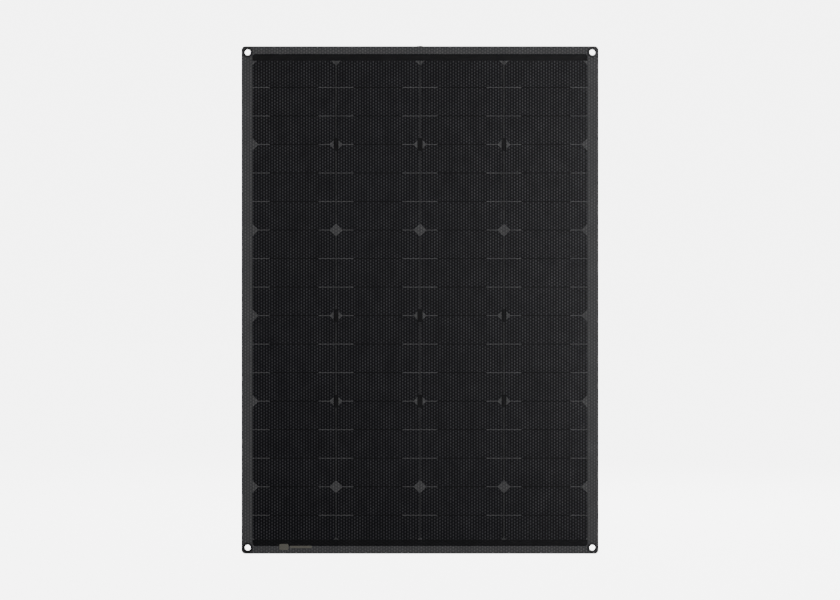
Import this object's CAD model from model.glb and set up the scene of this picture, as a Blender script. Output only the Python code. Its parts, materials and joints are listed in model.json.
"""The looks of the flexible solar sheet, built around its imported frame.

The laminate's layers are long pieces that bend smoothly where the frame's three stretches hinge.
Every length is in metres, in the frame's own axes: -Y is the cell side, +Y the back and +Z the top.
"""

import json
import logging
import math
from collections.abc import Callable, Iterator, Sequence
from contextlib import contextmanager
from dataclasses import dataclass
from enum import Enum

import bmesh
import bpy
from mathutils import Matrix, Vector


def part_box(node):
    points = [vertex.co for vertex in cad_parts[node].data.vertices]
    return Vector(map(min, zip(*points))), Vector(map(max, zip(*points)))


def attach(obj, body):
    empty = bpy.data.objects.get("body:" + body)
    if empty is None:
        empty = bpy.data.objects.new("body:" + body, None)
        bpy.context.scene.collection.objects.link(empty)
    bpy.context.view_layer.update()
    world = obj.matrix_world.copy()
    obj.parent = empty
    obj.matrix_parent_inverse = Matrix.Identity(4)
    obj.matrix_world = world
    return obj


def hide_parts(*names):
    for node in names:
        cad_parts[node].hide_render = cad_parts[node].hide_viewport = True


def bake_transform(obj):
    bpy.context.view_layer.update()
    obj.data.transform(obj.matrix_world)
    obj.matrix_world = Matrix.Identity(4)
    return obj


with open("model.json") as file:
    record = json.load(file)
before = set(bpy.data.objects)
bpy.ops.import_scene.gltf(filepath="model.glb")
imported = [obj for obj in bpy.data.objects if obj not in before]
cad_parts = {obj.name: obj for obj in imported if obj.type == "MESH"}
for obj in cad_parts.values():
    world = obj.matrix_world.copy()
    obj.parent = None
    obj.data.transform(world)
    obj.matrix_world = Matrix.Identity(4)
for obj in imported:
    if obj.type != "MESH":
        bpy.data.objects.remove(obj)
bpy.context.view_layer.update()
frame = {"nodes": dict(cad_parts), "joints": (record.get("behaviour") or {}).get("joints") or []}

MM = 0.001
SHARP_DEGREES = 35.0
log = logging.getLogger("solar_sheet")

Triple = tuple[float, float, float]
Colour = Triple
Span = tuple[float, float]


class Half(Enum):
    """The two long pieces of each layer, which meet in the middle stretch."""

    UPPER = ("upper", "sheet_upper", "sheet_middle")
    LOWER = ("lower", "sheet_middle", "sheet_lower")

    @property
    def word(self) -> str:
        """The half's name."""
        return self.value[0]

    @property
    def bodies(self) -> tuple[str, str]:
        """The two frame bodies that the half bends between, from the top down."""
        return self.value[1:]

    @property
    def ends(self) -> tuple[str, ...]:
        """The stretches whose frame nodes the half stands for."""
        return ("upper", "middle") if self is Half.UPPER else ("lower",)


class Side(Enum):
    """Left and right, seen from the cell side."""

    LEFT = -1
    RIGHT = 1


# ---------------------------------------------------------------- shading


class Signal:
    """A shader socket that carries a number. Its operators add Math nodes."""

    def __init__(self, shader: "Shader", socket: bpy.types.NodeSocket) -> None:
        """Wraps a socket of a shader."""
        self.shader = shader
        self.socket = socket

    def _math(self, operation: str, *values: "Signal | float") -> "Signal":
        """Adds one Math node on these values."""
        node = self.shader.node("ShaderNodeMath", {"operation": operation}, dict(enumerate(values)))
        return Signal(self.shader, node.outputs[0])

    def __add__(self, other: "Signal | float") -> "Signal":
        """Sum."""
        return self._math("ADD", self, other)

    def __radd__(self, other: float) -> "Signal":
        """Sum, reflected."""
        return self._math("ADD", other, self)

    def __sub__(self, other: "Signal | float") -> "Signal":
        """Difference."""
        return self._math("SUBTRACT", self, other)

    def __rsub__(self, other: float) -> "Signal":
        """Difference, reflected."""
        return self._math("SUBTRACT", other, self)

    def __mul__(self, other: "Signal | float") -> "Signal":
        """Product."""
        return self._math("MULTIPLY", self, other)

    def __rmul__(self, other: float) -> "Signal":
        """Product, reflected."""
        return self._math("MULTIPLY", other, self)

    def __truediv__(self, other: "Signal | float") -> "Signal":
        """Quotient."""
        return self._math("DIVIDE", self, other)

    def __mod__(self, other: "Signal | float") -> "Signal":
        """Remainder."""
        return self._math("MODULO", self, other)

    def __gt__(self, other: "Signal | float") -> "Signal":
        """1 where this is greater, else 0."""
        return self._math("GREATER_THAN", self, other)

    def __abs__(self) -> "Signal":
        """Size without sign."""
        return self._math("ABSOLUTE", self)

    def hump(self) -> "Signal":
        """0 at every whole number and 1 half-way between."""
        wave = self._math("SINE", math.pi * self)
        return wave * wave

    def floor(self) -> "Signal":
        """The whole number below."""
        return self._math("FLOOR", self)


class Shader:
    """One procedural material around a Principled shader, read in Object coordinates."""

    def __init__(self, name: str) -> None:
        """Starts an empty material of that name."""
        self.material = bpy.data.materials.new(name)
        self.material.use_nodes = True
        self.tree = self.material.node_tree
        self.surface = self.tree.nodes["Principled BSDF"]
        place = self.node("ShaderNodeTexCoord", {}, {})
        self.place = place.outputs["Object"]

    def node(self, kind: str, settings: dict, inputs: dict) -> bpy.types.Node:
        """Adds a node.

        Args:
            kind: the node's type.
            settings: its settings by name; "stops" is a colour ramp's list of (place, colour).
            inputs: values or links by socket name or number.

        Returns:
            The new node.
        """
        made = self.tree.nodes.new(kind)
        for name, value in settings.items():
            if name == "stops":
                ramp = made.color_ramp.elements
                while len(ramp) < len(value):
                    ramp.new(1.0)
                for stop, (spot, colour) in zip(ramp, value):
                    stop.position = spot
                    stop.color = (*colour, 1.0)
            else:
                setattr(made, name, value)
        for name, value in inputs.items():
            self.feed(made.inputs[name], value)
        return made

    def feed(self, socket: bpy.types.NodeSocket, value: object) -> None:
        """Links or sets one input socket."""
        if isinstance(value, Signal):
            value = value.socket
        if isinstance(value, bpy.types.NodeSocket):
            self.tree.links.new(value, socket)
        elif isinstance(value, tuple) and len(value) == 3 and socket.type == "RGBA":
            socket.default_value = (*value, 1.0)
        else:
            socket.default_value = value

    def set(self, **inputs: object) -> None:
        """Sets or links the Principled shader's sockets, written with underscores for blanks."""
        for name, value in inputs.items():
            self.feed(self.surface.inputs[name.replace("_", " ").title().replace("Ior", "IOR")], value)

    def noise(self, scale: float, detail: float, stretch: Triple = (1.0, 1.0, 1.0)) -> Signal:
        """Smooth noise from 0 to 1.

        Args:
            scale: blobs per metre.
            detail: finer octaves.
            stretch: how much each axis is squeezed.

        Returns:
            The noise's value.
        """
        where = self.node("ShaderNodeMapping", {}, {"Vector": self.place, "Scale": stretch})
        node = self.node(
            "ShaderNodeTexNoise", {}, {"Vector": where.outputs[0], "Scale": scale, "Detail": detail}
        )
        return Signal(self, node.outputs["Fac"])

    def axes(self) -> tuple[Signal, Signal, Signal]:
        """The three Object coordinates."""
        parts = self.node("ShaderNodeSeparateXYZ", {}, {"Vector": self.place})
        return tuple(Signal(self, socket) for socket in parts.outputs)

    def mix(self, share: Signal | float, first: object, second: object) -> bpy.types.NodeSocket:
        """A colour between two colours."""
        made = self.node("ShaderNodeMix", {"data_type": "RGBA"}, {0: share, 6: first, 7: second})
        return made.outputs[2]

    def bump(self, height: Signal, depth: float) -> bpy.types.NodeSocket:
        """A normal that stands for relief.

        Args:
            height: 0 to 1.
            depth: metres between 0 and 1.

        Returns:
            The bent normal.
        """
        made = self.node("ShaderNodeBump", {}, {"Height": height, "Distance": depth, "Strength": 1.0})
        return made.outputs["Normal"]


@dataclass(frozen=True)
class Finish:
    """A solid finish with mottled colour, uneven gloss and a fine relief."""

    name: str
    slot: str
    colour: Colour
    roughness: Span
    metallic: float = 0.0
    mottle: float = 0.15
    mottle_scale: float = 60.0
    grain_scale: float = 2500.0
    grain_depth: float = 0.02 * MM
    stretch: Triple = (1.0, 1.0, 1.0)
    sockets: tuple[tuple[str, float], ...] = ()

    def make(self) -> bpy.types.Material:
        """Builds the material."""
        shader = Shader(self.name)
        patch = shader.noise(self.mottle_scale, 4.0, self.stretch)
        grain = shader.noise(self.grain_scale, 2.0, self.stretch)
        low, high = self.roughness
        shader.set(
            base_color=self.tint(shader, patch, grain),
            roughness=low + (high - low) * patch,
            metallic=self.metallic,
            normal=shader.bump(grain, self.grain_depth),
            **dict(self.sockets),
        )
        return shader.material

    def tint(self, shader: Shader, patch: Signal, grain: Signal) -> object:
        """The colour, a little lighter and darker in soft patches.

        Args:
            shader: the material being made.
            patch: broad noise.
            grain: fine noise.

        Returns:
            A colour socket.
        """
        dark = tuple(c * (1 - self.mottle) for c in self.colour)
        light = tuple(min(1.0, c * (1 + self.mottle)) for c in self.colour)
        return shader.mix(0.6 * patch + 0.4 * grain, dark, light)


@dataclass(frozen=True)
class Speckled(Finish):
    """A finish sprinkled with small lighter flecks."""

    fleck: Colour = (0.3, 0.3, 0.3)
    fleck_scale: float = 900.0
    fleck_share: float = 0.66

    def tint(self, shader: Shader, patch: Signal, grain: Signal) -> object:
        """The mottled colour with flecks over it."""
        ground = Finish.tint(self, shader, patch, grain)
        return shader.mix(shader.noise(self.fleck_scale, 1.0) > self.fleck_share, ground, self.fleck)


@dataclass(frozen=True)
class BeadPattern:
    """How the film's beads are laid out: columns side by side, every other one half a bead lower."""

    columns: int = 134
    rows: int = 162
    saddle: float = 0.3
    patch_scale: float = 55.0
    least_share: float = 0.35
    patch_swing: float = 1.1

    def pitch(self, width: float, height: float) -> Span:
        """Width and height of one bead's tile on a sheet of that size."""
        return width / self.columns, height / self.rows

    def mask(self, shader: Shader) -> Signal:
        """0 between the beads and up to about 1 on their crests, stronger in some patches."""
        low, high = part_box("front_film_lower")[0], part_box("front_film_upper")[1]
        width, height = self.pitch(high.x - low.x, high.z - low.z)
        x, _, z = shader.axes()
        across = (x - low.x) / width
        along = (high.z - z) / height + 0.5 * (across.floor() % 2.0)
        bead = across.hump() * (self.saddle + (1 - self.saddle) * along.hump())
        patch = shader.noise(self.patch_scale, 2.0, (1.0, 1.0, 0.6))
        return bead * bead * (self.least_share + self.patch_swing * patch)


@dataclass(frozen=True)
class BeadLit(Finish):
    """A finish under or in the embossed film, lighter where a bead gathers the light."""

    beads: BeadPattern = BeadPattern()
    glint: Colour = (0.3, 0.3, 0.32)

    def tint(self, shader: Shader, patch: Signal, grain: Signal) -> object:
        """The mottled colour with the beads' glints over it."""
        return shader.mix(self.beads.mask(shader), Finish.tint(self, shader, patch, grain), self.glint)


@dataclass(frozen=True)
class CellFinish(BeadLit):
    """Black silicon whose blue coating drifts a little from cell to cell."""

    drift: Colour = (0.012, 0.012, 0.024)
    drift_scale: float = 7.0

    def tint(self, shader: Shader, patch: Signal, grain: Signal) -> object:
        """The cell colour, bluer in broad areas."""
        ground = Finish.tint(self, shader, patch, grain)
        drifted = shader.mix(shader.noise(self.drift_scale, 1.0), ground, self.drift)
        return shader.mix(self.beads.mask(shader), drifted, self.glint)


@dataclass(frozen=True)
class PlateFinish(Finish):
    """A blank printed foil: a dark field with a lighter line round it."""

    half_size: Span = (0.035, 0.023)
    centre_z: float = -0.13
    margin: float = 2.0 * MM
    line: float = 0.5 * MM
    ink: Colour = (0.02, 0.02, 0.022)

    def tint(self, shader: Shader, patch: Signal, grain: Signal) -> object:
        """Foil colour in the line, ink elsewhere."""
        ground = Finish.tint(self, shader, patch, grain)
        x, _, z = shader.axes()
        across = self.half_size[0] - abs(x)
        along = self.half_size[1] - abs(z - self.centre_z)
        inside = (across > self.margin) * (along > self.margin)
        core = (across > self.margin + self.line) * (along > self.margin + self.line)
        return shader.mix(inside - core, self.ink, ground)


class Palette:
    """Every finish of the sheet, each made once and kept by name."""

    FINISHES = (
        BeadLit(
            "embossed_film", "clear_film", (0.003, 0.003, 0.005), (0.16, 0.26), mottle=0.3, mottle_scale=9.0,
            grain_scale=1800.0, grain_depth=0.004 * MM,
            sockets=(("alpha", 0.2), ("ior", 1.4), ("specular_ior_level", 0.25)),
        ),
        CellFinish(
            "black_silicon", "black_silicon", (0.006, 0.006, 0.009), (0.3, 0.45), mottle=0.2,
            glint=(0.3, 0.3, 0.33),
        ),
        Finish("solder_links", "black_mask", (0.006, 0.006, 0.008), (0.4, 0.55)),
        BeadLit(
            "grey_carrier", "encapsulant", (0.34, 0.34, 0.35), (0.45, 0.6), mottle=0.08, mottle_scale=25.0,
            glint=(0.85, 0.85, 0.86),
        ),
        Speckled(
            "backsheet", "backsheet", (0.02, 0.02, 0.022), (0.38, 0.55), mottle=0.2, mottle_scale=14.0,
            grain_scale=1400.0, grain_depth=0.05 * MM, fleck=(0.035, 0.035, 0.037), fleck_scale=1500.0,
        ),
        Finish("black_mask", "black_mask", (0.007, 0.007, 0.009), (0.4, 0.55)),
        Finish(
            "black_eyelet", "black_eyelet", (0.06, 0.06, 0.063), (0.25, 0.42), metallic=0.5, mottle=0.3,
            mottle_scale=400.0, grain_depth=0.01 * MM,
        ),
        Finish("cream_print", "cream_print", (0.86, 0.83, 0.7), (0.4, 0.5), mottle=0.04, mottle_scale=200.0),
        Finish(
            "box_plastic", "box_plastic", (0.014, 0.014, 0.015), (0.38, 0.55), mottle_scale=300.0,
            grain_scale=2600.0, grain_depth=0.09 * MM,
        ),
        Finish("seal_rubber", "seal_rubber", (0.02, 0.02, 0.02), (0.7, 0.9), grain_depth=0.03 * MM),
        Speckled(
            "adhesive_foam", "adhesive_foam", (0.04, 0.04, 0.042), (0.8, 0.95), grain_scale=1200.0,
            grain_depth=0.2 * MM, fleck=(0.01, 0.01, 0.01),
        ),
        Finish(
            "tinned_copper", "tinned_copper", (0.72, 0.7, 0.67), (0.2, 0.42), metallic=1.0, mottle=0.12,
            mottle_scale=220.0, stretch=(1.0, 1.0, 0.3),
        ),
        Finish(
            "steel", "steel", (0.55, 0.55, 0.56), (0.2, 0.35), metallic=1.0, mottle_scale=900.0,
            stretch=(0.05, 1.0, 1.0),
        ),
        Finish("diode_epoxy", "diode_body", (0.012, 0.012, 0.012), (0.25, 0.4), grain_depth=0.04 * MM),
        PlateFinish(
            "rating_foil", "rating_plate", (0.5, 0.5, 0.52), (0.3, 0.42), metallic=0.3, mottle=0.05,
        ),
    )

    def __init__(self) -> None:
        """Makes every material."""
        self.finishes = {finish.name: finish for finish in self.FINISHES}
        self.materials = {finish.name: finish.make() for finish in self.FINISHES}

    def dress(self, piece: bpy.types.Object, name: str) -> None:
        """Gives a new piece its finish and its slot in the record."""
        piece.data.materials.clear()
        piece.data.materials.append(self.materials[name])

    def coat(self, name: str, *nodes: str) -> None:
        """Gives frame nodes that stay a better finish."""
        for node in nodes:
            for slot in frame["nodes"][node].material_slots:
                slot.material = self.materials[name]


# ---------------------------------------------------------------- modelling


class Bench:
    """Modelling by operators: one piece at a time is active and alone selected."""

    @staticmethod
    def take(*pieces: bpy.types.Object) -> None:
        """Selects these pieces alone and makes the first active."""
        bpy.ops.object.select_all(action="DESELECT")
        for piece in pieces:
            piece.select_set(True)
        bpy.context.view_layer.objects.active = pieces[0]

    @staticmethod
    def settle(name: str) -> bpy.types.Object:
        """Names the new active primitive and moves its place and size into its mesh."""
        piece = bpy.context.active_object
        piece.name = name
        piece.data.name = name
        bpy.ops.object.transform_apply(location=True, rotation=True, scale=True)
        return piece

    @staticmethod
    @contextmanager
    def editing(piece: bpy.types.Object, everything: bool = False) -> Iterator[None]:
        """Edit mode on one piece.

        Args:
            piece: the piece.
            everything: start with all selected, else with nothing.
        """
        Bench.take(piece)
        bpy.ops.object.mode_set(mode="EDIT")
        bpy.ops.mesh.select_mode(type="VERT")
        bpy.ops.mesh.select_all(action="SELECT" if everything else "DESELECT")
        yield
        bpy.ops.object.mode_set(mode="OBJECT")

    @staticmethod
    def pick(piece: bpy.types.Object, kind: str, test: Callable[[Vector, Vector], bool]) -> None:
        """Selects what passes a test, in edit mode.

        Args:
            piece: the piece being edited.
            kind: VERT, EDGE or FACE.
            test: takes the middle, and the normal or the edge's direction.
        """
        bpy.ops.mesh.select_mode(type=kind)
        bpy.ops.mesh.select_all(action="DESELECT")
        mesh = bmesh.from_edit_mesh(piece.data)
        if kind == "VERT":
            for vert in mesh.verts:
                vert.select_set(test(vert.co, vert.normal))
        elif kind == "EDGE":
            for edge in mesh.edges:
                start, end = (vert.co for vert in edge.verts)
                edge.select_set(test((start + end) / 2, (end - start).normalized()))
        else:
            for face in mesh.faces:
                face.select_set(test(face.calc_center_median(), face.normal))
        mesh.select_flush_mode()
        bmesh.update_edit_mesh(piece.data)

    @staticmethod
    def block(name: str, low: Sequence[float], high: Sequence[float]) -> bpy.types.Object:
        """A box between two corners."""
        low, high = Vector(low), Vector(high)
        bpy.ops.object.select_all(action="DESELECT")
        bpy.ops.mesh.primitive_cube_add(size=1.0, location=(low + high) / 2, scale=high - low)
        return Bench.settle(name)

    @staticmethod
    def rod(name: str, radius: float, start: Sequence[float], end: Sequence[float]) -> bpy.types.Object:
        """A round bar between two points."""
        start, end = Vector(start), Vector(end)
        turn = Vector((0, 0, 1)).rotation_difference(end - start).to_euler()
        bpy.ops.object.select_all(action="DESELECT")
        bpy.ops.mesh.primitive_cylinder_add(
            vertices=48,
            radius=radius,
            depth=(end - start).length,
            location=(start + end) / 2,
            rotation=turn,
        )
        return Bench.settle(name)

    @staticmethod
    def ring(
        name: str, profile: Sequence[Span], centre: Sequence[float], axis: Sequence[float]
    ) -> bpy.types.Object:
        """A ring spun from a closed profile.

        Args:
            name: the piece's name.
            profile: (radius, height along the axis) corners.
            centre: where height is 0.
            axis: the ring's axis.

        Returns:
            The ring.
        """
        bpy.ops.object.select_all(action="DESELECT")
        bpy.ops.mesh.primitive_circle_add(vertices=len(profile), radius=1.0)
        piece = Bench.settle(name)
        for vert, (radius, height) in zip(piece.data.vertices, profile):
            vert.co = (radius, 0.0, height)
        with Bench.editing(piece, everything=True):
            bpy.ops.mesh.spin(steps=64, angle=2 * math.pi, center=(0, 0, 0), axis=(0, 0, 1))
            bpy.ops.mesh.select_all(action="SELECT")
            bpy.ops.mesh.remove_doubles(threshold=1e-6)
            bpy.ops.mesh.normals_make_consistent(inside=False)
        turn = Vector((0, 0, 1)).rotation_difference(Vector(axis)).to_matrix().to_4x4()
        piece.data.transform(Matrix.Translation(centre) @ turn)
        return piece

    @staticmethod
    def apply(piece: bpy.types.Object, kind: str, **settings: object) -> None:
        """Adds a modifier with these settings and applies it."""
        Bench.take(piece)
        modifier = piece.modifiers.new(kind.lower(), kind)
        for name, value in settings.items():
            setattr(modifier, name, value)
        bpy.ops.object.modifier_apply(modifier=modifier.name)

    @staticmethod
    def carve(piece: bpy.types.Object, tool: bpy.types.Object) -> None:
        """Cuts a tool from a piece and removes the tool."""
        Bench.apply(piece, "BOOLEAN", operation="DIFFERENCE", solver="EXACT", object=tool)
        bpy.data.objects.remove(tool)

    @staticmethod
    def soften(piece: bpy.types.Object, width: float, segments: int = 2) -> None:
        """Rounds the sharp edges and smooths the rest."""
        Bench.apply(
            piece, "BEVEL", width=width, segments=segments, limit_method="ANGLE",
            angle_limit=math.radians(SHARP_DEGREES), harden_normals=False,
        )
        Bench.smooth(piece)

    @staticmethod
    def smooth(piece: bpy.types.Object, angle: float = SHARP_DEGREES) -> None:
        """Smooth shading except across sharp edges."""
        Bench.take(piece)
        bpy.ops.object.shade_smooth_by_angle(angle=math.radians(angle))

    @staticmethod
    def slice(piece: bpy.types.Object, heights: Sequence[float]) -> None:
        """Cuts level edge loops into a piece, so that it can bend."""
        for height in heights:
            with Bench.editing(piece, everything=True):
                bpy.ops.mesh.bisect(plane_co=(0, 0, height), plane_no=(0, 0, 1))

    @staticmethod
    def trim(piece: bpy.types.Object, spot: Sequence[float], outward: Sequence[float]) -> None:
        """Cuts off what lies beyond a plane and closes the cut."""
        with Bench.editing(piece, everything=True):
            bpy.ops.mesh.bisect(plane_co=spot, plane_no=outward, use_fill=True, clear_outer=True)

    @staticmethod
    def copy(piece: bpy.types.Object, name: str, matrix: Matrix) -> bpy.types.Object:
        """A copy with its own mesh, moved by a matrix."""
        made = bpy.data.objects.new(name, piece.data.copy())
        made.data.name = name
        made.data.transform(matrix)
        bpy.context.scene.collection.objects.link(made)
        return made

    @staticmethod
    def join(name: str, pieces: Sequence[bpy.types.Object]) -> bpy.types.Object:
        """Joins pieces into one."""
        Bench.take(*pieces)
        if len(pieces) > 1:
            bpy.ops.object.join()
        pieces[0].name = name
        pieces[0].data.name = name
        return pieces[0]

    @staticmethod
    def from_node(node: str, name: str, width: float) -> bpy.types.Object:
        """A copy of a frame node with its corners merged and its edges rounded.

        Args:
            node: the frame node.
            name: the new piece's name.
            width: how far the rounding reaches.

        Returns:
            The new piece.
        """
        piece = Bench.copy(frame["nodes"][node], name, Matrix.Identity(4))
        with Bench.editing(piece, everything=True):
            bpy.ops.mesh.remove_doubles(threshold=2e-6)
            bpy.ops.mesh.dissolve_limited(angle_limit=math.radians(1.0))
        Bench.soften(piece, width)
        return piece


# ---------------------------------------------------------------- the sheet


@dataclass
class Outline:
    """The sheet's outline and where it bends."""

    corner_radius: float = 6.0 * MM
    eyelet_hole: float = 5.4 * MM
    bend_reach: float = 75.0 * MM
    slice_pitch: float = 10.0 * MM

    def __post_init__(self) -> None:
        """Reads the sheet's limits from the frame."""
        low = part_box("front_film_lower")[0]
        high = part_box("front_film_upper")[1]
        self.left, self.bottom = low.x, low.z
        self.right, self.top = high.x, high.z
        middle_low, middle_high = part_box("front_film_middle")
        self.seam = (middle_low.z + middle_high.z) / 2
        self.bend = {Half.UPPER: self.line(middle_high.z), Half.LOWER: self.line(middle_low.z)}

    def line(self, edge: float) -> float:
        """The height of the bending line beside one end of the middle stretch."""
        joints = [joint["pos_m"][2] for joint in frame["joints"] if "flex" in joint["name"]]
        return min(joints, key=lambda height: abs(height - edge))

    def limits(self, half: Half) -> Span:
        """(bottom, top) of a half."""
        return (self.seam, self.top) if half is Half.UPPER else (self.bottom, self.seam)

    def eyelets(self, half: Half) -> list[tuple[Side, float, float]]:
        """Side, x and z of the half's two eyelets."""
        found = []
        for side in Side:
            low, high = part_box(f"eyelet_{half.word}_{side.name.lower()}")
            found.append((side, (low.x + high.x) / 2, (low.z + high.z) / 2))
        return found

    def bend_piece(self, piece: bpy.types.Object, half: Half) -> None:
        """Lets a piece bend smoothly round the half's bending line."""
        line = self.bend[half]
        start, end = (0, 0, line + self.bend_reach), (0, 0, line - self.bend_reach)
        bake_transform(piece)

    def slices(self, half: Half) -> list[float]:
        """Heights of the level loops that a half needs to bend."""
        low, high = self.limits(half)
        line = self.bend[half]
        count = int(2 * self.bend_reach / self.slice_pitch)
        heights = [line + self.bend_reach - i * self.slice_pitch for i in range(count + 1)]
        return [height for height in heights if low + MM < height < high - MM]

    def panel(self, name: str, half: Half, depth: Span, inset: float) -> bpy.types.Object:
        """One half of a plain layer: round at the sheet's corners, holed for the eyelets, sliced to bend.

        Args:
            name: the piece's name.
            half: which half.
            depth: front and back y.
            inset: how far it stays inside the sheet's edge.

        Returns:
            The panel.
        """
        low, high = self.limits(half)
        low += inset if half is Half.LOWER else 0.0
        high -= inset if half is Half.UPPER else 0.0
        end = high if half is Half.UPPER else low
        piece = Bench.block(name, (self.left + inset, depth[0], low), (self.right - inset, depth[1], high))
        with Bench.editing(piece):
            Bench.pick(piece, "EDGE", lambda spot, way: abs(way.y) > 0.9 and abs(spot.z - end) < MM)
            bpy.ops.mesh.bevel(offset=self.corner_radius - inset, segments=8, affect="EDGES")
        for _, x, z in self.eyelets(half):
            tool = Bench.rod("drill", self.eyelet_hole, (x, depth[0] - MM, z), (x, depth[1] + MM, z))
            Bench.carve(piece, tool)
        Bench.slice(piece, self.slices(half))
        Bench.smooth(piece)
        return piece


@dataclass
class FrontFilm:
    """The embossed front film: staggered columns of short raised beads, flat round the eyelets."""

    outline: Outline
    palette: Palette
    beads: BeadPattern = BeadPattern()
    facets: int = 4
    bead_height: float = 0.45 * MM
    flat_radius: float = 9.0 * MM
    fade: float = 4.0 * MM
    edge_fade: float = 1.5 * MM
    weld: float = 0.05 * MM

    def build(self) -> None:
        """Makes the four quarters of the film."""
        rows = round((self.outline.top - self.outline.seam) / self.pitch[1])
        seam = self.outline.top - rows * self.pitch[1]
        for half in Half:
            low, high = (seam, self.outline.top) if half is Half.UPPER else (self.outline.bottom, seam)
            count = rows if half is Half.UPPER else self.beads.rows - rows
            for side in Side:
                self.quarter(half, side, low, high, count)

    @property
    def pitch(self) -> Span:
        """Width and height of a bead's tile."""
        outline = self.outline
        return self.beads.pitch(outline.right - outline.left, outline.top - outline.bottom)

    def relief(self, x: float, z: float) -> float:
        """Height of the embossing at a point, from 0 to 1."""
        across = (x - self.outline.left) / self.pitch[0]
        along = (self.outline.top - z) / self.pitch[1] + (0.5 if int(across + 1e-6) % 2 else 0.0)
        ridge = math.sin(math.pi * across) ** 2
        bead = math.sin(math.pi * along) ** 2
        return ridge * (self.beads.saddle + (1 - self.beads.saddle) * bead)

    def calm(self, x: float, z: float, centres: list[tuple[float, float]]) -> float:
        """0 on the flat round an eyelet or at the sheet's edge, 1 away from them."""
        away = min(math.dist((x, z), centre) for centre in centres) - self.flat_radius
        outline = self.outline
        edge = min(x - outline.left, outline.right - x, outline.top - z, z - outline.bottom)
        return max(0.0, min(1.0, away / self.fade)) * min(1.0, edge / self.edge_fade)

    def quarter(self, half: Half, side: Side, low: float, high: float, rows: int) -> None:
        """Makes one quarter.

        Args:
            half: upper or lower.
            side: left or right of the middle.
            low: its lower edge.
            high: its upper edge.
            rows: rows of beads.
        """
        outline = self.outline
        front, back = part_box("front_film_upper")[0].y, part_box("front_film_upper")[1].y
        edge = outline.left if side is Side.LEFT else outline.right
        name = f"front_film_{half.word}_{side.name.lower()}"
        bpy.ops.object.select_all(action="DESELECT")
        bpy.ops.mesh.primitive_grid_add(
            x_subdivisions=self.beads.columns // 2 * self.facets,
            y_subdivisions=rows * self.facets,
            size=1.0,
            location=(edge / 2, front, (low + high) / 2),
            rotation=(math.pi / 2, 0, 0),
        )
        bpy.context.active_object.scale = (abs(edge), high - low, 1.0)
        piece = Bench.settle(name)
        centres = [(x, z) for spot, x, z in outline.eyelets(half) if spot is side]
        self.emboss(piece, centres)
        self.shape_corner(piece, half, side, centres[0])
        with Bench.editing(piece):
            bpy.ops.mesh.select_non_manifold()
            bpy.ops.mesh.extrude_region_move(TRANSFORM_OT_translate={"value": (0, back - front, 0)})
            bpy.ops.transform.resize(value=(1, 0, 1), center_override=(0, back, 0))
            bpy.ops.mesh.fill()
        Bench.smooth(piece, 60.0)
        self.palette.dress(piece, "embossed_film")
        outline.bend_piece(piece, half)
        if side is Side.LEFT:
            ends = half.ends
            layers = ("front_film", "front_encapsulant")
            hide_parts(*(f"{layer}_{end}" for layer in layers for end in ends))
        log.info("%s: %d faces", name, len(piece.data.polygons))

    def emboss(self, piece: bpy.types.Object, centres: list[tuple[float, float]]) -> None:
        """Raises the beads by a weighted Displace modifier.

        Args:
            piece: the flat grid.
            centres: eyelet centres to stay flat round.
        """
        levels: dict[float, list[int]] = {}
        for vert in piece.data.vertices:
            x, _, z = vert.co
            weight = round(self.relief(x, z) * self.calm(x, z, centres), 2)
            levels.setdefault(weight, []).append(vert.index)
        group = piece.vertex_groups.new(name="beads")
        for weight, members in levels.items():
            group.add(members, weight, "REPLACE")
        Bench.apply(
            piece, "DISPLACE", strength=-self.bead_height, mid_level=0.0, direction="Y", vertex_group="beads"
        )
        piece.vertex_groups.clear()

    def shape_corner(self, piece: bpy.types.Object, half: Half, side: Side, eyelet: Span) -> None:
        """Rounds the sheet's corner and opens the eyelet's hole.

        Args:
            piece: the embossed grid.
            half: upper or lower.
            side: left or right.
            eyelet: the eyelet's centre.
        """
        outline = self.outline
        radius = outline.corner_radius
        x = side.value * (outline.right - radius)
        z = outline.top - radius if half is Half.UPPER else outline.bottom + radius
        upward = 1 if half is Half.UPPER else -1
        for vert in piece.data.vertices:
            away = Vector((vert.co.x - x, vert.co.z - z))
            beyond = away.x * side.value > 0 and away.y * upward > 0
            if beyond and away.length > radius:
                away *= radius / away.length
                vert.co.x, vert.co.z = x + away.x, z + away.y
        with Bench.editing(piece, everything=True):
            bpy.ops.mesh.remove_doubles(threshold=self.weld)
            bpy.ops.mesh.dissolve_degenerate(threshold=self.weld)
            hole = outline.eyelet_hole
            Bench.pick(piece, "FACE", lambda spot, _: math.dist((spot.x, spot.z), eyelet) < hole)
            bpy.ops.mesh.delete(type="FACE")


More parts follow.
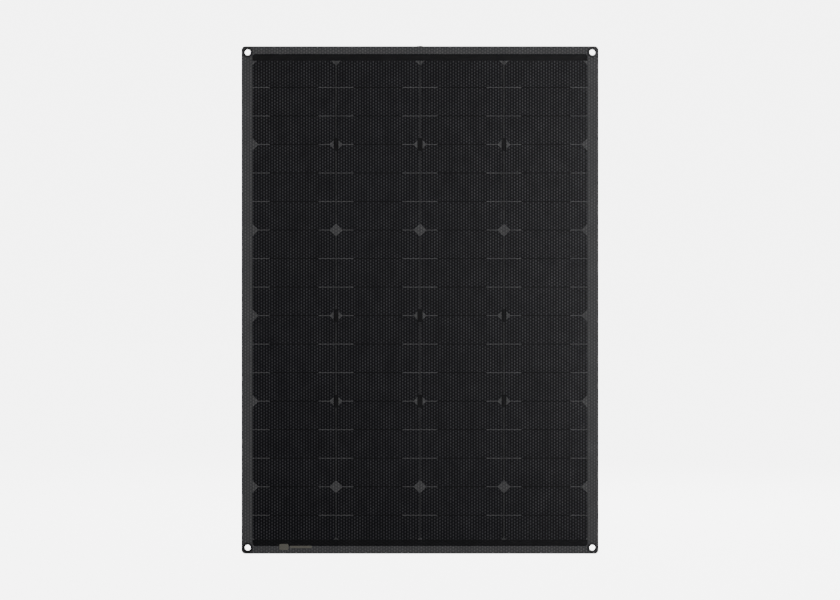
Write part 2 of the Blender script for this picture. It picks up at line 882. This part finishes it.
@dataclass
class Laminate:
    """The grey carrier that shows round the cells, and the black backsheet."""

    outline: Outline
    palette: Palette
    ribbon_width: float = 2.5 * MM
    slot_half_size: Span = (30.0 * MM, 1.6 * MM)
    carrier_inset: float = 0.5 * MM
    layer_gap: float = 0.05 * MM

    def build(self) -> None:
        """Makes both halves of both layers."""
        for half in Half:
            ends = half.ends
            core_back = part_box("core_sheet_upper")[1].y
            carrier = (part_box("rear_encapsulant_upper")[0].y, core_back)
            backsheet = (core_back + self.layer_gap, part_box("backsheet_upper")[1].y)
            core_nodes = ("rear_encapsulant", "core_sheet")
            layers = (
                ("carrier", carrier, self.carrier_inset, "grey_carrier", core_nodes),
                ("backsheet", backsheet, 0.0, "backsheet", ("backsheet",)),
            )
            for word, depth, inset, finish, nodes in layers:
                piece = self.outline.panel(f"{word}_{half.word}", half, depth, inset)
                if half is Half.UPPER:
                    self.open_slot(piece, depth)
                self.palette.dress(piece, finish)
                self.outline.bend_piece(piece, half)
                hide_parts(*(f"{node}_{end}" for node in nodes for end in ends))
                log.info("%s: %d faces", piece.name, len(piece.data.polygons))

    def open_slot(self, piece: bpy.types.Object, depth: Span) -> None:
        """Cuts the slot that the ribbons pass through."""
        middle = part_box("top_bus_middle")[1].z - self.ribbon_width / 2
        across, up = self.slot_half_size
        low = (-across, depth[0] - MM, middle - up)
        high = (across, depth[1] + MM, middle + up)
        tool = Bench.block("slot", low, high)
        Bench.carve(piece, tool)


@dataclass
class CellArray:
    """Cell strips in columns, their solder links, and the black masks over gaps and bus ribbons."""

    outline: Outline
    palette: Palette
    rows: int = 17
    strips_per_wafer: int = 3
    columns: int = 4
    row_gap: float = 1.3 * MM
    chamfer: float = 8.65 * MM
    link_width: float = 74.0 * MM
    facets: int = 4
    patch_width: float = 7.5 * MM
    patch_overlap: float = 1.0 * MM
    patch_lift: float = 0.01 * MM
    patch_boundaries: tuple[int, ...] = (3, 9, 12)
    diamond_boundaries: tuple[int, ...] = (6, 15)
    gap_mask_width: float = 0.6 * MM
    mask_lift: float = 0.02 * MM
    mask_depth: float = 0.06 * MM
    mask_corner: float = 4.0 * MM
    strip_rounding: float = 0.05 * MM
    link_inset: float = 0.02 * MM
    link_overlap: float = 0.1 * MM

    def __post_init__(self) -> None:
        """Reads the cells' sizes from the frame."""
        low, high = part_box("cell_string_1_upper")
        self.front, self.back = low.y, high.y
        self.top = high.z
        self.width = high.x - low.x
        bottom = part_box("cell_string_1_lower")[0].z
        self.pitch = (self.top - bottom + self.row_gap) / self.rows
        self.height = self.pitch - self.row_gap
        self.bottom = bottom

    def row_top(self, row: int) -> float:
        """Upper edge of a row; rows count from 1."""
        return self.top - (row - 1) * self.pitch

    def boundary(self, row: int) -> float:
        """Middle of the gap under a row."""
        return self.row_top(row) - self.height - self.row_gap / 2

    def centre(self, column: int) -> float:
        """Middle of a column; columns count from 1."""
        low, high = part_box(f"cell_string_{column}_upper")
        return (low.x + high.x) / 2

    def rows_of(self, half: Half) -> list[int]:
        """The rows whose strips belong to a half."""
        upper = [row for row in range(1, self.rows + 1) if self.row_top(row) > self.outline.seam]
        return upper if half is Half.UPPER else [row for row in range(1, self.rows + 1) if row not in upper]

    def strip(self, name: str, cut_top: bool, cut_bottom: bool) -> bpy.types.Object:
        """One cell strip about x = 0, hanging down from z = 0.

        Args:
            name: the strip's name.
            cut_top: its upper corners are cut.
            cut_bottom: its lower corners are cut.

        Returns:
            The strip.
        """
        half = self.width / 2
        piece = Bench.block(name, (-half, self.front, -self.height), (half, self.back, 0.0))
        for cut, z, way in ((cut_top, 0.0, 1), (cut_bottom, -self.height, -1)):
            if cut:
                for side in Side:
                    spot = (side.value * (half - self.chamfer), 0.0, z)
                    Bench.trim(piece, spot, (side.value, 0.0, way))
        Bench.slice(piece, [-self.height * i / self.facets for i in range(1, self.facets)])
        Bench.soften(piece, self.strip_rounding, 1)
        return piece

    def build(self) -> None:
        """Makes the strings, links and masks."""
        kinds = {
            "first": self.strip("strip_first", True, False),
            "middle": self.strip("strip_middle", False, False),
            "last": self.strip("strip_last", False, True),
        }
        half_link = self.link_width / 2
        low = (-half_link, self.front + self.link_inset, -self.row_gap - self.link_overlap)
        high = (half_link, self.back - self.link_inset, self.link_overlap)
        link = Bench.block("link", low, high)
        for half in Half:
            for column in range(1, self.columns + 1):
                self.string(half, column, kinds, link)
            self.gap_masks(half)
        for pattern in (*kinds.values(), link):
            bpy.data.objects.remove(pattern)
        self.bus_masks()

    def kind_of(self, row: int) -> str:
        """Which of the three strips a row needs."""
        if row % self.strips_per_wafer == 1:
            return "first"
        return "last" if row % self.strips_per_wafer == 0 or row == self.rows else "middle"

    def string(
        self, half: Half, column: int, kinds: dict[str, bpy.types.Object], link: bpy.types.Object
    ) -> None:
        """Makes one column's strips and links in one half.

        Args:
            half: which half.
            column: which column.
            kinds: the three strip patterns.
            link: the link pattern.
        """
        strips, links = [], []
        for row in self.rows_of(half):
            place = Matrix.Translation((self.centre(column), 0, self.row_top(row)))
            strips.append(Bench.copy(kinds[self.kind_of(row)], "strip", place))
            if row < self.rows:
                below = Matrix.Translation((self.centre(column), 0, self.row_top(row) - self.height))
                links.append(Bench.copy(link, "link", below))
        piece = Bench.join(f"cell_strips_{column}_{half.word}", strips)
        self.palette.dress(piece, "black_silicon")
        self.outline.bend_piece(piece, half)
        ends = half.ends
        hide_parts(*(f"cell_string_{column}_{end}" for end in ends))
        ties = Bench.join(f"solder_links_{column}_{half.word}", links)
        self.palette.dress(ties, "solder_links")
        self.outline.bend_piece(ties, half)
        log.info("%s: %d strips", piece.name, len(strips))

    def gap_masks(self, half: Half) -> None:
        """Makes the narrow black masks over the gaps between columns, wider at the covered wafer corners."""
        rows = self.rows_of(half)
        top, bottom = self.row_top(rows[0]), self.row_top(rows[-1]) - self.pitch
        back = self.front - self.mask_lift
        front = back - self.mask_depth
        marks = [self.boundary(row) for row in self.diamond_boundaries]
        stops = [z for z in marks if bottom < z < top]
        ends = [top, *(edge for z in stops for edge in (z + self.chamfer, z - self.chamfer)), bottom]
        thin, wide = self.gap_mask_width / 2, self.patch_width / 2
        reach = self.chamfer + self.patch_overlap
        parts = []
        for column in range(1, self.columns):
            x = (self.centre(column) + self.centre(column + 1)) / 2
            for high, low in zip(ends[::2], ends[1::2]):
                parts.append(Bench.block("gap_mask", (x - thin, front, low), (x + thin, back, high)))
            for row in self.patch_boundaries:
                z = self.boundary(row)
                if bottom < z < top:
                    low = (x - wide, front - self.patch_lift, z - reach)
                    high = (x + wide, back - self.patch_lift, z + reach)
                    parts.append(Bench.block("patch", low, high))
        piece = Bench.join(f"gap_masks_{half.word}", parts)
        Bench.slice(piece, self.outline.slices(half))
        self.palette.dress(piece, "black_mask")
        self.outline.bend_piece(piece, half)

    def bus_masks(self) -> None:
        """Makes the wide masks over the bus ribbons."""
        for word, way in (("top", -1), ("bottom", 1)):
            node = f"{word}_mask"
            low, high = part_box(node)
            piece = Bench.block(f"{word}_bus_mask", low, high)
            outer = high.z if way < 0 else low.z
            with Bench.editing(piece):
                Bench.pick(piece, "EDGE", lambda spot, along: abs(along.y) > 0.9 and abs(spot.z - outer) < MM)
                bpy.ops.mesh.bevel(offset=self.mask_corner, segments=6, affect="EDGES")
            Bench.smooth(piece)
            self.palette.dress(piece, "black_mask")
            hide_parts(node)
            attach(piece, "sheet_upper" if way < 0 else "sheet_lower")
            log.info("%s made", piece.name)


@dataclass
class Eyelets:
    """Four rolled tube eyelets and the washers behind them."""

    outline: Outline
    palette: Palette
    bore: float = 4.3 * MM
    wall: float = 0.7 * MM
    flange: float = 7.4 * MM
    lip: float = 6.2 * MM
    arc_steps: int = 5
    roll: float = 0.55 * MM
    lip_rounding: float = 0.2 * MM
    mouth_rounding: float = 0.25 * MM
    washer_edge: float = 0.12 * MM

    def arc(self, centre: Span, radius: float, start: float, end: float) -> list[Span]:
        """Corners of a quarter roll in the profile, angles in degrees."""
        angles = [math.radians(start + (end - start) * i / self.arc_steps) for i in range(self.arc_steps + 1)]
        return [(centre[0] + radius * math.cos(a), centre[1] + radius * math.sin(a)) for a in angles]

    def profile(self, front: float, back: float) -> list[Span]:
        """The eyelet's section as (radius, y), with a rolled mouth and a crowned flange.

        Args:
            front: the flange's front.
            back: the lip's back.

        Returns:
            Corners of a closed loop.
        """
        roll, lip, mouth = self.roll, self.lip_rounding, self.mouth_rounding
        seat = front + roll
        barrel = self.bore + self.wall
        return [
            *self.arc((self.bore + roll, seat), roll, 180, 270),
            *self.arc((self.flange - roll, seat), roll, 270, 360),
            (barrel, seat),
            (barrel, back - 2 * lip),
            *self.arc((self.lip - lip, back - lip), lip, 0, 90),
            *self.arc((self.bore + mouth, back - mouth), mouth, 90, 180),
        ]

    def build(self) -> None:
        """Makes the four eyelets and washers."""
        for half in Half:
            for side, x, z in self.outline.eyelets(half):
                word = f"{half.word}_{side.name.lower()}"
                low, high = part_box(f"eyelet_{word}")
                piece = Bench.ring(f"rolled_eyelet_{word}", self.profile(low.y, high.y), (x, 0, z), (0, 1, 0))
                washer_low, washer_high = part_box(f"eyelet_washer_{word}")
                outer = (washer_high.x - washer_low.x) / 2
                inner = self.outline.eyelet_hole
                edge = self.washer_edge
                section = [
                    (inner, washer_low.y),
                    (outer - edge, washer_low.y),
                    (outer, washer_low.y + edge),
                    (outer, washer_high.y - edge),
                    (outer - edge, washer_high.y),
                    (inner, washer_high.y),
                ]
                washer = Bench.ring(f"back_washer_{word}", section, (x, 0, z), (0, 1, 0))
                for made, node in ((piece, f"eyelet_{word}"), (washer, f"eyelet_washer_{word}")):
                    Bench.smooth(made, 40.0)
                    self.palette.dress(made, "black_eyelet")
                    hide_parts(node)
                    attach(made, f"sheet_{half.word}")
        log.info("eyelets made")


@dataclass
class JunctionBox:
    """The rear box: moulded base, hinged lid, cable gland, terminals and diodes."""

    palette: Palette
    rib_pitch: float = 6.0 * MM
    rib_half_width: float = 0.7 * MM
    rib_end: float = 5.0 * MM
    recess_depth: float = 0.6 * MM
    recess_side: float = 9.0 * MM
    recess_heights: Span = (-48.0 * MM, -8.0 * MM)
    recess_radius: float = 4.0 * MM

    def build(self) -> None:
        """Makes the moulded pieces and dresses the rest."""
        moulded = {
            "box_base": ("junction_base", "sheet_upper", 0.25 * MM),
            "box_lid": ("junction_lid", "junction_box_lid", 0.3 * MM),
            "gland_nut": ("gland_cap", "gland_nut", 0.2 * MM),
            "gland_slip_ring": ("slip_ring", "sheet_upper", 0.1 * MM),
        }
        for node, (name, body, width) in moulded.items():
            piece = Bench.from_node(node, name, width)
            if node == "box_lid":
                self.emboss_lid(piece)
            self.palette.dress(piece, "box_plastic")
            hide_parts(node)
            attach(piece, body)
            log.info("%s: %d faces", name, len(piece.data.polygons))
        self.palette.coat("seal_rubber", "lid_gasket", "gland_seal")
        self.palette.coat("adhesive_foam", "adhesive_pad")
        self.palette.coat("steel", "lid_hinge_pin")
        self.palette.coat("diode_epoxy", "bypass_diode_1", "bypass_diode_2")
        self.palette.coat("tinned_copper", "terminal_plus", "terminal_middle", "terminal_minus")
        ribbons = ("top_bus_left", "top_bus_middle", "top_bus_right", "bottom_bus_left", "bottom_bus_right")
        self.palette.coat("tinned_copper", *ribbons)

    def emboss_lid(self, lid: bpy.types.Object) -> None:
        """Sinks a shallow panel with grip ribs into the lid's back."""
        low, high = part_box("box_lid")
        depth = self.recess_depth
        left, right = low.x + self.recess_side, high.x - self.recess_side
        bottom, top = self.recess_heights
        tool = Bench.block("recess", (left, high.y - depth, bottom), (right, high.y + MM, top))
        with Bench.editing(tool):
            Bench.pick(tool, "EDGE", lambda spot, way: abs(way.y) > 0.9)
            bpy.ops.mesh.bevel(offset=self.recess_radius, segments=6, affect="EDGES")
        count = int((right - left) / self.rib_pitch)
        spare = (right - left - (count - 1) * self.rib_pitch) / 2
        for i in range(count):
            x = left + spare + i * self.rib_pitch
            near = (x - self.rib_half_width, high.y - 2 * depth, bottom + self.rib_end)
            far = (x + self.rib_half_width, high.y + 2 * MM, top - self.rib_end)
            Bench.carve(tool, Bench.block("rib", near, far))
        Bench.carve(lid, tool)
        Bench.smooth(lid)


@dataclass
class Labels:
    """The blank printed tab and line on the front, and the blank plate on the back."""

    palette: Palette

    def build(self) -> None:
        """Dresses the blank prints."""
        self.palette.coat("cream_print", "label_tab", "label_line")
        self.palette.coat("rating_foil", "rating_plate")


@dataclass
class Studio:
    """Pale floor, soft lamps and the camera in front of the cells."""

    outline: Outline
    focal_mm: float = 85.0
    sensor_mm: float = 36.0
    view_width: float = 1.265
    floor_size: float = 40.0
    floor_drop: float = 0.12
    white: float = 6.0
    lamps: tuple[tuple[str, Triple, Span, float], ...] = (
        ("key", (1.15, -2.9, -0.3), (1.4, 1.8), 22.0),
        ("fill", (-1.3, -2.8, 0.5), (1.8, 1.8), 7.0),
        ("back", (0.6, 2.2, 0.9), (2.0, 1.6), 60.0),
    )

    def build(self) -> None:
        """Places everything."""
        middle = Vector((0.0, 0.0, (self.outline.top + self.outline.bottom) / 2))
        self.camera(middle)
        for name, place, size, power in self.lamps:
            self.lamp(name, Vector(place), middle, size, power)
        self.floor()
        self.world()

    def camera(self, target: Vector) -> None:
        """Puts the camera straight in front of the cells."""
        data = bpy.data.cameras.new("camera")
        data.lens = self.focal_mm
        data.sensor_width = self.sensor_mm
        data.clip_end = 100.0
        made = bpy.data.objects.new("camera", data)
        distance = self.view_width * self.focal_mm / self.sensor_mm
        made.location = target + Vector((0.0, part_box("front_film_upper")[0].y - distance, 0.0))
        made.rotation_euler = (math.pi / 2, 0.0, 0.0)
        bpy.context.scene.collection.objects.link(made)
        bpy.context.scene.camera = made

    def lamp(self, name: str, place: Vector, target: Vector, size: Span, power: float) -> None:
        """Hangs one soft lamp.

        Args:
            name: the lamp's name.
            place: where it hangs.
            target: what it points at.
            size: width and height.
            power: watts.
        """
        data = bpy.data.lights.new(name, "AREA")
        data.shape = "RECTANGLE"
        data.size, data.size_y = size
        data.energy = power
        made = bpy.data.objects.new(name, data)
        made.location = place
        made.rotation_euler = (target - place).to_track_quat("-Z", "Y").to_euler()
        made.visible_camera = False
        bpy.context.scene.collection.objects.link(made)

    def floor(self) -> None:
        """Lays a pale floor under the sheet."""
        bpy.ops.object.select_all(action="DESELECT")
        bpy.ops.mesh.primitive_plane_add(
            size=self.floor_size, location=(0, 0, self.outline.bottom - self.floor_drop)
        )
        made = Bench.settle("floor")
        shader = Shader("pale_floor")
        cloud = shader.noise(1.5, 2.0)
        shader.set(
            base_color=shader.mix(cloud, (0.9, 0.9, 0.9), (0.93, 0.93, 0.93)), roughness=0.9,
            emission_color=(1.0, 1.0, 1.0), emission_strength=self.white,
        )
        made.data.materials.append(shader.material)
        made.visible_diffuse = False
        made.visible_glossy = False

    def world(self) -> None:
        """Surrounds the sheet with white to look at and soft grey light."""
        world = bpy.data.worlds.new("studio")
        bpy.context.scene.world = world
        world.use_nodes = True
        tree = world.node_tree
        plain = tree.nodes["Background"]
        plain.inputs["Color"].default_value = (0.05, 0.05, 0.052, 1.0)
        plain.inputs["Strength"].default_value = 1.0
        seen = tree.nodes.new("ShaderNodeBackground")
        seen.inputs["Color"].default_value = (1.0, 1.0, 1.0, 1.0)
        seen.inputs["Strength"].default_value = self.white
        path = tree.nodes.new("ShaderNodeLightPath")
        mix = tree.nodes.new("ShaderNodeMixShader")
        tree.links.new(path.outputs["Is Camera Ray"], mix.inputs[0])
        tree.links.new(plain.outputs[0], mix.inputs[1])
        tree.links.new(seen.outputs[0], mix.inputs[2])
        tree.links.new(mix.outputs[0], tree.nodes["World Output"].inputs["Surface"])


def main() -> None:
    """Builds the sheet's pieces in order, then the studio."""
    logging.basicConfig(level=logging.INFO, format="%(message)s")
    palette = Palette()
    outline = Outline()
    for part in (
        FrontFilm(outline, palette),
        Laminate(outline, palette),
        CellArray(outline, palette),
        Eyelets(outline, palette),
        JunctionBox(palette),
        Labels(palette),
        Studio(outline),
    ):
        part.build()
        log.info("%s done", type(part).__name__)


if __name__ == "__main__":
    main()
